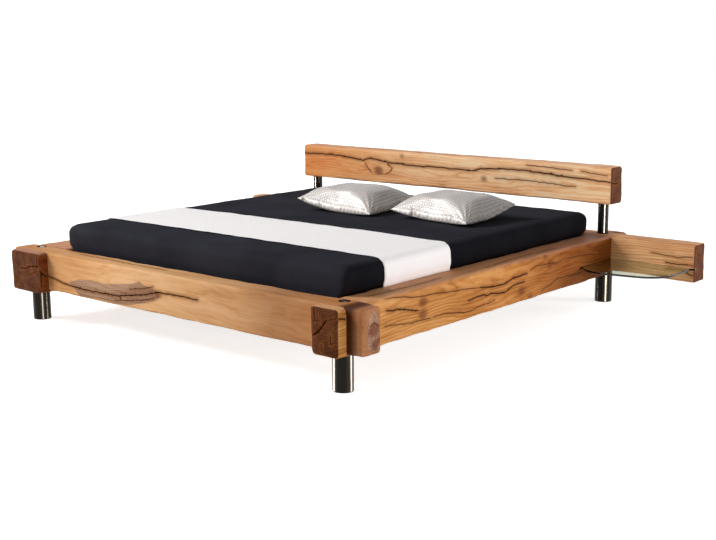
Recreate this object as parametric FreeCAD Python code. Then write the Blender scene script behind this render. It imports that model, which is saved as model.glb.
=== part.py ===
# Beam bed: crossed oak beams on steel tube legs, a head beam on two posts, glass shelves, slats and bedding.
# Millimetres. X to the right seen from the foot end, Y to the head end, Z up; origin on the floor, mid frame.
import FreeCAD, Part
import math
import os

os.makedirs("parts", exist_ok=True)
Vector = FreeCAD.Vector

# Frame
inner_width = 1800.0
inner_length = 2000.0
top_height = 364.0
side_right_width = 149.0
side_left_width = 236.0
side_height = 203.0
foot_width = 122.0
foot_height = 194.0
cross_width = 122.0
cross_height = 192.0
lap_share = 0.5
foot_stub = 50.0
head_stub = 50.0
foot_end_right = 79.0
foot_end_left = 36.0
shelf_arm = 466.0
beam_round = 12.0

# Head beam and posts
rest_width = 123.0
rest_height = 196.0
rest_lift = 162.0
rest_short_right = 11.0
rest_short_left = 9.0
post_diameter = 56.0
post_plate_diameter = 62.0
post_plate_thickness = 6.0

# Legs
leg_diameter = 89.0
tube_wall = 2.0
leg_plate_thickness = 6.0
glide_height = 4.0
glide_inset = 1.5
glide_plug_height = 12.0
glide_plug_gap = 0.2
leg_inset_right = 71.0
leg_inset_left = 84.0
foot_leg_back = 59.0

# Bolts and tie rods
bolt_inset_right = 86.0
bolt_inset_left = 69.0
foot_bolt_back = 90.0
bolt_diameter = 16.0
bolt_hole_gap = 0.5
thread_gap = 0.1
bolt_head_across = 24.0
bolt_head_height = 10.0
washer_diameter = 42.0
washer_thickness = 3.0
recess_diameter = 46.0
recess_depth = 14.0
bolt_past_plate = 14.0
rod_in_rest = 60.0
insert_diameter = 25.0
insert_length = 50.0
nut_height = 13.0

# Glass shelves
glass_thickness = 10.0
glass_drop = 129.0
glass_reach = 448.0
glass_depth_inner = 400.0
glass_depth_outer = 308.0
glass_in_slot = 16.0
glass_round = 150.0
glass_edge_round = 1.5
slot_gap = 0.4
slot_spare = 4.0
slot_reach = 320.0

# Slatted base
ledger_drop = 129.0
ledger_width = 40.0
ledger_height = 45.0
ledger_end_gap = 20.0
ledger_screw_count = 6
centre_width = 60.0
centre_height = 90.0
shoe_thickness = 3.0
shoe_depth = 50.0
shoe_flange = 30.0
centre_leg_diameter = 42.0
centre_plate_diameter = 80.0
centre_plate_thickness = 4.0
rail_width = 25.0
rail_height = 58.0
rail_end_gap = 12.0
frame_side_gap = 7.0
frame_mid_gap = 3.0
slat_count = 14
slat_width = 60.0
slat_thickness = 8.0
cap_width = 34.0
cap_length = 68.0
cap_height = 16.0
cap_wall = 4.0

# Screws
screw_diameter = 6.0
screw_head_diameter = 12.0
screw_head_height = 4.0
screw_length = 70.0
shoe_screw_length = 40.0
shoe_screw_shares = (0.3, 0.7)
screw_gap = 0.1

# Bedding
soft_gap = 0.3
mattress_side_gap = 24.0
mattress_front_gap = 25.0
mattress_rear_gap = 30.0
mattress_height = 180.0
mattress_corner = 40.0
mattress_bulge = 46.0
mattress_end_ease = 13.0
mattress_crown_inset = 300.0
# Rise up the mattress, and the shares of the side bulge, the end ease and the crown inset there
mattress_profile_shares = (
    (0.0, 0.0, 0.4, 0.0),
    (0.1, 0.12, 0.0, 0.0),
    (0.3, 0.37, 0.0, 0.0),
    (0.5, 0.72, 0.0, 0.0),
    (0.75, 1.0, 0.0, 0.0),
    (0.9, 0.92, 0.4, 0.0),
    (0.955, 0.56, 1.0, 0.0),
    (0.98, 0.56, 1.0, 0.2),
    (1.0, 0.56, 1.0, 1.0),
)
sheet_thickness = 2.0
sheet_skirt_share = 0.12
runner_thickness = 3.0
runner_from_end = 240.0
runner_width = 471.0
runner_hem_lift = 4.0
cushion_width = 490.0
cushion_depth = 410.0
cushion_draw_in = 24.0
cushion_under = 46.0
# Rise above the seam, counted in cushion_under, and half width there
cushion_profile_shares = (
    (-1.0, 0.42),
    (-0.86, 0.66),
    (-0.55, 0.86),
    (-0.2, 0.97),
    (0.0, 1.0),
    (0.35, 0.97),
    (0.9, 0.86),
    (1.4, 0.68),
    (1.75, 0.45),
    (1.9, 0.2),
)
cushion_right_x = 561.0
cushion_right_from_head = 647.0
cushion_right_degrees = -2.0
cushion_left_x = -24.0
cushion_left_from_head = 709.0
cushion_left_degrees = 3.0

# Faces that follow from the sizes above
frame_width = side_left_width + inner_width + side_right_width
right_outer = frame_width / 2
left_outer = -frame_width / 2
right_inner = right_outer - side_right_width
left_inner = left_outer + side_left_width
middle_x = (right_inner + left_inner) / 2
foot_rear = -inner_length / 2
foot_front = foot_rear - foot_width
cross_front = inner_length / 2
cross_rear = cross_front + cross_width
cross_middle = cross_front + cross_width / 2
foot_bolt_y = foot_front + foot_bolt_back
foot_leg_y = foot_front + foot_leg_back
side_bottom = top_height - side_height
lap_height = top_height - foot_height * lap_share
bolt_right = right_outer - bolt_inset_right
bolt_left = left_outer + bolt_inset_left
leg_right = right_outer - leg_inset_right
leg_left = left_outer + leg_inset_left
rest_bottom = top_height + rest_lift
rest_front = cross_middle - rest_width / 2
rest_left = left_outer + rest_short_left
rest_right = right_outer - rest_short_right
glass_underside = top_height - glass_drop
ledger_top = top_height - ledger_drop
rail_top = ledger_top + rail_height
cap_top = rail_top + cap_height
mattress_bottom = cap_top + soft_gap
mattress_front = foot_rear + mattress_front_gap
mattress_rear = cross_front - mattress_rear_gap
mattress_middle_y = (mattress_front + mattress_rear) / 2


def save(shape, name):
    shape.exportStep("parts/" + name + ".step")


def box(x0, y0, z0, x1, y1, z1):
    return Part.makeBox(x1 - x0, y1 - y0, z1 - z0, Vector(x0, y0, z0))


def rod(x, y, z0, z1, diameter):
    return Part.makeCylinder(diameter / 2, z1 - z0, Vector(x, y, z0))


def tube(x, y, z0, z1, diameter, wall):
    return rod(x, y, z0, z1, diameter).cut(rod(x, y, z0, z1, diameter - 2 * wall))


def hexagon(x, y, z0, z1, across):
    radius = across / 2 / math.cos(math.pi / 6)
    turns = [k * math.pi / 3 for k in range(7)]
    outline = [Vector(x + radius * math.cos(a), y + radius * math.sin(a), z0) for a in turns]
    return Part.Face(Part.makePolygon(outline)).extrude(Vector(0, 0, z1 - z0))


def eased_box(x0, y0, z0, x1, y1, z1, radius):
    block = box(x0, y0, z0, x1, y1, z1)
    return block.makeFillet(radius, block.Edges)


def screw(head_point, axis, length, grow):
    """Countersunk wood screw with its head face at head_point, running along axis."""
    head = Part.makeCone(
        screw_head_diameter / 2 + grow, screw_diameter / 2 + grow, screw_head_height, head_point, axis
    )
    shank = Part.makeCylinder(screw_diameter / 2 + grow, length + grow, head_point, axis)
    return head.fuse(shank).removeSplitter()


def corners():
    """The four crossings: (x and y of the bolt, x and y of the leg, place)."""
    return (
        (bolt_right, foot_bolt_y, leg_right, foot_leg_y, "foot_right"),
        (bolt_left, foot_bolt_y, leg_left, foot_leg_y, "foot_left"),
        (bolt_right, cross_middle, leg_right, cross_middle, "head_right"),
        (bolt_left, cross_middle, leg_left, cross_middle, "head_left"),
    )


def bolt_hole(x, y, z0, z1):
    return rod(x, y, z0, z1, bolt_diameter + 2 * bolt_hole_gap)


def ledger_points():
    """Screw places along a ledger, in Y."""
    run = inner_length - 2 * ledger_end_gap
    step = run / ledger_screw_count
    return [-run / 2 + step * (k + 1 / 2) for k in range(ledger_screw_count)]


def ledger_screw(side, y, grow):
    """One screw through the ledger of one side (+1 right, -1 left) into its beam."""
    face = right_inner - ledger_width if side > 0 else left_inner + ledger_width
    return screw(Vector(face, y, ledger_top - ledger_height / 2), Vector(side, 0, 0), screw_length, grow)


def shoe_screws(grow):
    """Screws that hold the two beam shoes of the middle beam, two per flange."""
    shapes = []
    for side in (-1, 1):
        for end in (-1, 1):
            x = middle_x + side * (centre_width / 2 + shoe_thickness + shoe_flange / 2)
            y = end * (inner_length / 2 - shoe_thickness)
            for share in shoe_screw_shares:
                z = ledger_top - centre_height * share
                shapes.append(screw(Vector(x, y, z), Vector(0, end, 0), shoe_screw_length, grow))
    return shapes


def slot_box():
    """The saw kerf that takes the right-hand glass shelf, cut through both beams at once."""
    spare = glass_in_slot + slot_spare
    low = glass_underside
    high = glass_underside + glass_thickness + slot_gap
    x0, y0 = right_outer - spare, cross_front - slot_reach
    side = box(x0, y0, low, right_outer + spare, cross_front + spare, high)
    cross = box(x0, cross_front - spare, low, right_outer + glass_reach + spare, cross_front + spare, high)
    return side.fuse(cross)


def mirrored(shape):
    return shape.mirror(Vector(0, 0, 0), Vector(1, 0, 0))


def side_beam(x0, x1, side):
    y_end = cross_rear + head_stub
    beam = eased_box(x0, foot_front - foot_stub, side_bottom, x1, y_end, top_height, beam_round)
    for y0, y1 in ((foot_front, foot_rear), (cross_front, cross_rear)):
        beam = beam.cut(box(x0, y0, lap_height, x1, y1, top_height))
    for x, y, leg_x, leg_y, place in corners():
        beam = beam.cut(bolt_hole(x, y, side_bottom, top_height))
    for y in ledger_points():
        beam = beam.cut(ledger_screw(side, y, screw_gap))
    return beam.cut(slot_box() if side > 0 else mirrored(slot_box()))


def long_beam(x0, x1, y0, y1, height):
    """A cross beam with the two laps cut in its underside."""
    beam = eased_box(x0, y0, top_height - height, x1, y1, top_height, beam_round)
    for lap0, lap1 in ((left_outer, left_inner), (right_inner, right_outer)):
        beam = beam.cut(box(lap0, y0, top_height - height, lap1, y1, lap_height))
    for x, y, leg_x, leg_y, place in corners():
        beam = beam.cut(bolt_hole(x, y, lap_height, top_height))
    for shape in shoe_screws(screw_gap):
        beam = beam.cut(shape)
    return beam


def make_frame():
    save(side_beam(right_inner, right_outer, 1), "side_beam_right")
    save(side_beam(left_outer, left_inner, -1), "side_beam_left")
    foot_left, foot_right = left_outer - foot_end_left, right_outer + foot_end_right
    foot = long_beam(foot_left, foot_right, foot_front, foot_rear, foot_height)
    for x in (bolt_right, bolt_left):
        foot = foot.cut(rod(x, foot_bolt_y, top_height - recess_depth, top_height, recess_diameter))
    save(foot, "foot_beam")
    cross_left, cross_right = left_outer - shelf_arm, right_outer + shelf_arm
    cross = long_beam(cross_left, cross_right, cross_front, cross_rear, cross_height)
    save(cross.cut(slot_box()).cut(mirrored(slot_box())), "head_cross_beam")


def make_head_rest():
    rest_top, rest_rear = rest_bottom + rest_height, rest_front + rest_width
    rest = eased_box(rest_left, rest_front, rest_bottom, rest_right, rest_rear, rest_top, beam_round)
    inserts = []
    for side, x in (("right", bolt_right), ("left", bolt_left)):
        rest = rest.cut(bolt_hole(x, cross_middle, rest_bottom, rest_bottom + rod_in_rest))
        rest = rest.cut(rod(x, cross_middle, rest_bottom, rest_bottom + insert_length, insert_diameter))
        insert = tube(
            x, cross_middle, rest_bottom, rest_bottom + insert_length,
            insert_diameter, (insert_diameter - bolt_diameter) / 2 - thread_gap,
        )
        inserts.append(insert)
        low = top_height + post_plate_thickness
        high = rest_bottom - post_plate_thickness
        save(tube(x, cross_middle, low, high, post_diameter, tube_wall), "head_post_" + side)
    save(rest, "head_rest_beam")
    save(Part.makeCompound(inserts), "rest_beam_inserts")
    plates = []
    for x in (bolt_right, bolt_left):
        for z in (top_height, rest_bottom - post_plate_thickness):
            wall = (post_plate_diameter - bolt_diameter) / 2 - bolt_hole_gap
            plates.append(tube(x, cross_middle, z, z + post_plate_thickness, post_plate_diameter, wall))
    save(Part.makeCompound(plates), "post_plates")


def make_legs():
    plates = []
    for bolt_x, bolt_y, x, y, place in corners():
        leg_top = side_bottom - leg_plate_thickness
        save(tube(x, y, glide_height, leg_top, leg_diameter, tube_wall), "leg_" + place)
        thread = rod(bolt_x, bolt_y, leg_top, side_bottom, bolt_diameter + 2 * thread_gap)
        plates.append(rod(x, y, leg_top, side_bottom, leg_diameter).cut(thread))
        pad = rod(x, y, 0, glide_height, leg_diameter - 2 * glide_inset)
        plug_diameter = leg_diameter - 2 * tube_wall - 2 * glide_plug_gap
        plug = tube(x, y, glide_height, glide_height + glide_plug_height, plug_diameter, 2 * tube_wall)
        save(pad.fuse(plug).removeSplitter(), "glide_" + place)
    save(Part.makeCompound(plates), "leg_plates")


def make_fixings():
    """Bolts at the foot crossings; tie rods through the head crossings and posts into the head beam."""
    bolts, washers, rods, nuts = [], [], [], []
    end_low = side_bottom - leg_plate_thickness - bolt_past_plate
    for x in (bolt_right, bolt_left):
        floor = top_height - recess_depth
        seat = floor + washer_thickness
        bolt = rod(x, foot_bolt_y, end_low, seat, bolt_diameter)
        head = hexagon(x, foot_bolt_y, seat, seat + bolt_head_height, bolt_head_across)
        bolts.append(bolt.fuse(head).removeSplitter())
        washer_wall = (washer_diameter - bolt_diameter) / 2 - bolt_hole_gap
        washers.append(tube(x, foot_bolt_y, floor, seat, washer_diameter, washer_wall))
        rods.append(rod(x, cross_middle, end_low, rest_bottom + insert_length, bolt_diameter))
        low = top_height + post_plate_thickness
        nut = hexagon(x, cross_middle, low, low + nut_height, bolt_head_across)
        nuts.append(nut.cut(rod(x, cross_middle, low, low + nut_height, bolt_diameter + 2 * thread_gap)))
    save(Part.makeCompound(bolts), "crossing_bolts")
    save(Part.makeCompound(washers), "crossing_washers")
    save(Part.makeCompound(rods), "tie_rods")
    save(Part.makeCompound(nuts), "tie_rod_nuts")


def glass_plate():
    """The right-hand shelf: its front edge slants a little, with a large round corner at each end."""
    x0 = right_outer - glass_in_slot
    x1 = right_outer + glass_reach
    y1 = cross_front + glass_in_slot
    fronts = (Vector(x0, cross_front - glass_depth_inner, glass_underside),
              Vector(x1, cross_front - glass_depth_outer, glass_underside))
    backs = (Vector(x1, y1, glass_underside), Vector(x0, y1, glass_underside))
    outline = Part.makePolygon([*fronts, *backs, fronts[0]])
    plate = Part.Face(outline).extrude(Vector(0, 0, glass_thickness))
    uprights = [e for e in plate.Edges if e.BoundBox.YMax < cross_front - glass_round and upright(e)]
    plate = plate.makeFillet(glass_round, uprights)
    return plate.makeFillet(glass_edge_round, [e for e in plate.Edges if not upright(e)])


def upright(edge):
    return edge.BoundBox.ZMax - edge.BoundBox.ZMin > glass_thickness / 2


def make_shelves():
    plate = glass_plate()
    save(plate, "glass_shelf_right")
    save(mirrored(plate), "glass_shelf_left")


def make_supports():
    """Ledgers on the side beams, the middle beam in its shoes, and the middle leg."""
    low = ledger_top - ledger_height
    y0, y1 = -inner_length / 2 + ledger_end_gap, inner_length / 2 - ledger_end_gap
    screws = []
    for side, name in ((1, "ledger_right"), (-1, "ledger_left")):
        x0 = right_inner - ledger_width if side > 0 else left_inner
        ledger = box(x0, y0, low, x0 + ledger_width, y1, ledger_top)
        for y in ledger_points():
            ledger = ledger.cut(ledger_screw(side, y, screw_gap))
            screws.append(ledger_screw(side, y, 0))
        save(ledger, name)
    save(Part.makeCompound(screws), "ledger_screws")
    half = centre_width / 2
    beam_low = ledger_top - centre_height
    beam_end = inner_length / 2 - shoe_thickness
    save(box(middle_x - half, -beam_end, beam_low, middle_x + half, beam_end, ledger_top), "middle_beam")
    shoes = [beam_shoe(end) for end in (-1, 1)]
    save(Part.makeCompound(shoes), "beam_shoes")
    save(Part.makeCompound(shoe_screws(0)), "shoe_screws")
    plate_low = beam_low - centre_plate_thickness
    save(tube(middle_x, 0, glide_height, plate_low, centre_leg_diameter, tube_wall), "middle_leg")
    save(rod(middle_x, 0, plate_low, beam_low, centre_plate_diameter), "middle_leg_plate")
    save(rod(middle_x, 0, 0, glide_height, centre_leg_diameter - 2 * glide_inset), "middle_leg_glide")


def beam_shoe(end):
    """Folded steel shoe that carries one end of the middle beam; end is -1 at the foot, +1 at the head."""
    half = centre_width / 2
    outside = half + shoe_thickness
    low = ledger_top - centre_height
    wall_y = end * inner_length / 2
    face_y = end * (inner_length / 2 - shoe_thickness)
    tray_y = end * (inner_length / 2 - shoe_depth)
    back = box(
        middle_x - outside - shoe_flange, min(wall_y, face_y), low - shoe_thickness,
        middle_x + outside + shoe_flange, max(wall_y, face_y), ledger_top,
    )
    tray = box(
        middle_x - outside, min(tray_y, face_y), low - shoe_thickness,
        middle_x + outside, max(tray_y, face_y), ledger_top,
    )
    room = box(middle_x - half, min(tray_y, face_y), low, middle_x + half, max(tray_y, face_y), ledger_top)
    shoe = back.fuse(tray.cut(room)).removeSplitter()
    for shape in shoe_screws(screw_gap):
        shoe = shoe.cut(shape)
    return shoe


def slat_frames():
    """The two slat frames as (x0, x1) pairs."""
    right = (middle_x + frame_mid_gap, right_inner - frame_side_gap)
    left = (left_inner + frame_side_gap, middle_x - frame_mid_gap)
    return (("right", right), ("left", left))


def make_slats():
    y_end = inner_length / 2 - rail_end_gap
    rails, ends, caps = [], [], []
    slat_low = rail_top + (cap_height - slat_thickness) / 2
    step = (2 * y_end - 2 * rail_width) / slat_count
    for side, (x0, x1) in slat_frames():
        slats = []
        for x in (x0, x1 - rail_width):
            rails.append(box(x, -y_end, ledger_top, x + rail_width, y_end, rail_top))
        for y in (-y_end, y_end - rail_width):
            ends.append(box(x0 + rail_width, y, ledger_top, x1 - rail_width, y + rail_width, rail_top))
        for k in range(slat_count):
            y = -y_end + rail_width + step * (k + 1 / 2)
            y0, y1 = y - slat_width / 2, y + slat_width / 2
            slat = box(x0 + cap_wall, y0, slat_low, x1 - cap_wall, y1, slat_low + slat_thickness)
            slats.append(slat)
            for cap_x in (x0, x1 - cap_width):
                cap = box(cap_x, y - cap_length / 2, rail_top, cap_x + cap_width, y + cap_length / 2, cap_top)
                caps.append(cap.cut(slat))
        save(Part.makeCompound(slats), "slats_" + side)
    save(Part.makeCompound(rails), "slat_side_rails")
    save(Part.makeCompound(ends), "slat_end_rails")
    save(Part.makeCompound(caps), "slat_caps")


def rounded_rectangle(x, y, z, half_x, half_y, radius):
    diagonal = radius * (1 - math.sqrt(0.5))
    x0, x1, y0, y1 = x - half_x, x + half_x, y - half_y, y + half_y

    def at(px, py):
        return Vector(px, py, z)

    edges = [
        Part.makeLine(at(x0 + radius, y0), at(x1 - radius, y0)),
        Part.Arc(at(x1 - radius, y0), at(x1 - diagonal, y0 + diagonal), at(x1, y0 + radius)).toShape(),
        Part.makeLine(at(x1, y0 + radius), at(x1, y1 - radius)),
        Part.Arc(at(x1, y1 - radius), at(x1 - diagonal, y1 - diagonal), at(x1 - radius, y1)).toShape(),
        Part.makeLine(at(x1 - radius, y1), at(x0 + radius, y1)),
        Part.Arc(at(x0 + radius, y1), at(x0 + diagonal, y1 - diagonal), at(x0, y1 - radius)).toShape(),
        Part.makeLine(at(x0, y1 - radius), at(x0, y0 + radius)),
        Part.Arc(at(x0, y0 + radius), at(x0 + diagonal, y0 + diagonal), at(x0 + radius, y0)).toShape(),
    ]
    return Part.Wire(edges)


def mattress_form(grow):
    """The mattress, or a skin's outside grow millimetres away from it."""
    wires = []
    for rise, side_share, end_share, crown_share in mattress_profile_shares:
        inset = mattress_crown_inset * crown_share
        half_x = inner_width / 2 - mattress_side_gap + mattress_bulge * side_share - inset + grow
        half_y = (mattress_rear - mattress_front) / 2 - mattress_end_ease * end_share - inset + grow
        z = mattress_bottom + mattress_height * rise + grow * rise
        wires.append(rounded_rectangle(middle_x, mattress_middle_y, z, half_x, half_y, mattress_corner))
    return Part.makeLoft(wires, True, True)


def make_mattress():
    save(mattress_form(0), "mattress")
    sheet = mattress_form(soft_gap + sheet_thickness).cut(mattress_form(soft_gap))
    skirt = mattress_bottom + mattress_height * sheet_skirt_share
    reach = frame_width
    sheet = sheet.common(box(-reach, -reach, skirt, reach, reach, reach))
    save(sheet, "fitted_sheet")
    inside = 2 * soft_gap + sheet_thickness
    runner = mattress_form(inside + runner_thickness).cut(mattress_form(inside))
    hem = top_height + runner_hem_lift
    runner_front = mattress_front + runner_from_end
    runner = runner.common(box(-reach, runner_front, hem, reach, runner_front + runner_width, reach))
    save(runner, "bed_runner")


def cushion(x, y, degrees):
    """A scatter cushion lying flat, with a crown and sides drawn in between its four corners."""
    half_x, half_y = cushion_width / 2, cushion_depth / 2
    top = mattress_bottom + mattress_height + 2 * soft_gap + sheet_thickness
    seam = top + cushion_under
    wires = []
    for rise, share in cushion_profile_shares:
        z = seam + cushion_under * rise
        reach_x, reach_y = half_x * share, half_y * share
        in_x, in_y = reach_x - cushion_draw_in * share, reach_y - cushion_draw_in * share
        tips = [Vector(sx * reach_x, sy * reach_y, z) for sx, sy in ((-1, -1), (1, -1), (1, 1), (-1, 1))]
        mids = [Vector(0, -in_y, z), Vector(in_x, 0, z), Vector(0, in_y, z), Vector(-in_x, 0, z)]
        arcs = [Part.Arc(tips[k], mids[k], tips[(k + 1) % 4]).toShape() for k in range(4)]
        wires.append(Part.Wire(arcs))
    form = Part.makeLoft(wires, True, True)
    form.rotate(Vector(0, 0, 0), Vector(0, 0, 1), degrees)
    form.translate(Vector(x, y, 0))
    return form


def make_cushions():
    right_y = mattress_rear - cushion_right_from_head
    save(cushion(cushion_right_x, right_y, cushion_right_degrees), "cushion_right")
    left_y = mattress_rear - cushion_left_from_head
    save(cushion(cushion_left_x, left_y, cushion_left_degrees), "cushion_left")


make_frame()
make_head_rest()
make_legs()
make_fixings()
make_shelves()
make_supports()
make_slats()
make_mattress()
make_cushions()
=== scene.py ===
"""Looks of a beam bed: heavy rustic oak beams, polished tube legs with a painted dark reflection, glass
shelves and bedding.
"""

import math
from functools import partial

import bmesh
import bpy
import numpy as np
from mathutils import Euler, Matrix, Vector


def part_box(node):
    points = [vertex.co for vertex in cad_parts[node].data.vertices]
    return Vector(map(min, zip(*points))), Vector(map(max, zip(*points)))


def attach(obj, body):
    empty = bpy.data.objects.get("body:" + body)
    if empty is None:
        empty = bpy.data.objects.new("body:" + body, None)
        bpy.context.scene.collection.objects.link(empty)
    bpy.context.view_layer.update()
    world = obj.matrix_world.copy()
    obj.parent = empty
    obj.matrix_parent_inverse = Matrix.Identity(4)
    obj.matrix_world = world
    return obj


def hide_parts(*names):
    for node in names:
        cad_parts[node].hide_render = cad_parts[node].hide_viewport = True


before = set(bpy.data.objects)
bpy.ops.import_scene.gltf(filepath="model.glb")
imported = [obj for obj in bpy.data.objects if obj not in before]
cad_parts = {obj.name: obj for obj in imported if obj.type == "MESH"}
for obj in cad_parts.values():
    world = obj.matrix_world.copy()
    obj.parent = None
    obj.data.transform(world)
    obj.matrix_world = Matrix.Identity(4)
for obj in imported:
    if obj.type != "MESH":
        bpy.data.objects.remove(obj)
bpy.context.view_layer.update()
MM = 0.001


# Small helpers


def linear(code):
    """A hex sRGB colour as linear red, green, blue and a full alpha."""
    parts = [int(code[k : k + 2], 16) / 255 for k in (1, 3, 5)]
    lit = [c / 12.92 if c <= 0.04045 else ((c + 0.055) / 1.055) ** 2.4 for c in parts]
    return (*lit, 1.0)


def feed(node, inputs):
    """Sets a node's inputs, by name or number, to values, sockets or other nodes' first outputs."""
    for key, value in inputs.items():
        if isinstance(value, bpy.types.Node):
            value = value.outputs[0]
        if isinstance(value, bpy.types.NodeSocket):
            node.id_data.links.new(value, node.inputs[key])
        else:
            node.inputs[key].default_value = value


def add_node(tree, kind, inputs=(), stops=(), **settings):
    """A shader node with its settings, its ramp's stops, and its inputs by name or in a list."""
    node = tree.nodes.new("ShaderNode" + kind)
    for name, value in settings.items():
        setattr(node, name, value)
    if stops:
        ramp = node.color_ramp
        while len(ramp.elements) < len(stops):
            ramp.elements.new(0.5)
        for element, (place, code) in zip(ramp.elements, stops):
            element.position = place
            element.color = linear(code)
    feed(node, inputs if isinstance(inputs, dict) else dict(enumerate(inputs)))
    return node


def new_material(name):
    """An empty material, the function that adds its nodes, and its Principled shader wired to the output."""
    material = bpy.data.materials.new(name)
    material.use_nodes = True
    material.node_tree.nodes.clear()
    add = partial(add_node, material.node_tree)
    shader = add("BsdfPrincipled")
    add("OutputMaterial", {"Surface": shader})
    return material, add, shader


def put(shader, **values):
    """Feeds the shader's own sockets, named with underscores for their spaces."""
    feed(shader, {key.replace("_", " "): value for key, value in values.items()})


def patterned(name, kind, pattern, stops=(), relief=None, stretch=None, inward=False, settings=None,
              **values):
    """A material whose colour or relief follows one pattern in the piece's own coordinates.

    The relief is its strength and its height in metres. Values are the shader's other inputs.
    """
    material, add, shader = new_material(name)
    where = add("TexCoord").outputs["Object"]
    if stretch:
        where = add("VectorMath", [where, stretch], operation="MULTIPLY")
    drawn = add(kind, {"Vector": where, **pattern}, **(settings or {}))
    if stops:
        values["Base_Color"] = add("ValToRGB", {"Fac": drawn}, stops=stops)
    if relief:
        strength, height = relief
        values["Normal"] = add("Bump", {"Strength": strength, "Distance": height, "Height": drawn},
                               invert=inward)
    put(shader, **values)
    return material


def make_object(name, points, faces, material, smooth=True):
    """A mesh object at the origin, from points in millimetres."""
    mesh = bpy.data.meshes.new(name)
    mesh.from_pydata([tuple(p) for p in (np.asarray(points) * MM).tolist()], [], faces)
    mesh.validate()
    mesh.update()
    if smooth:
        mesh.shade_smooth()
    piece = bpy.data.objects.new(name, mesh)
    bpy.context.scene.collection.objects.link(piece)
    if material:
        mesh.materials.append(material)
    return piece


def wave_field(points, size, seed, count=9):
    """A smooth uneven field from -1 to 1 over points, with bumps about size apart."""
    draw = np.random.default_rng(seed)
    total = np.zeros(len(points))
    for _ in range(count):
        way = draw.normal(size=3)
        way /= np.linalg.norm(way)
        step = size * draw.uniform(0.7, 1.6)
        total += np.sin(points @ way * 2 * math.pi / step + draw.uniform(0, 2 * math.pi))
    return total / (count * 0.5) ** 0.5 / 1.6


def ease(value, low, high):
    """0 below low, 1 above high, and a smooth step between."""
    t = np.clip((value - low) / (high - low), 0, 1)
    return t * t * (3 - 2 * t)


# Oak

# The beams' mesh step, how far round a mark the mesh carries its distance, and round a crack, in millimetres
STEP = 6.0
FAR = 80.0
CRACK_REACH = 60
# Height at which the beams lie on each other in their laps
LAP_LEVEL = 267.0


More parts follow.
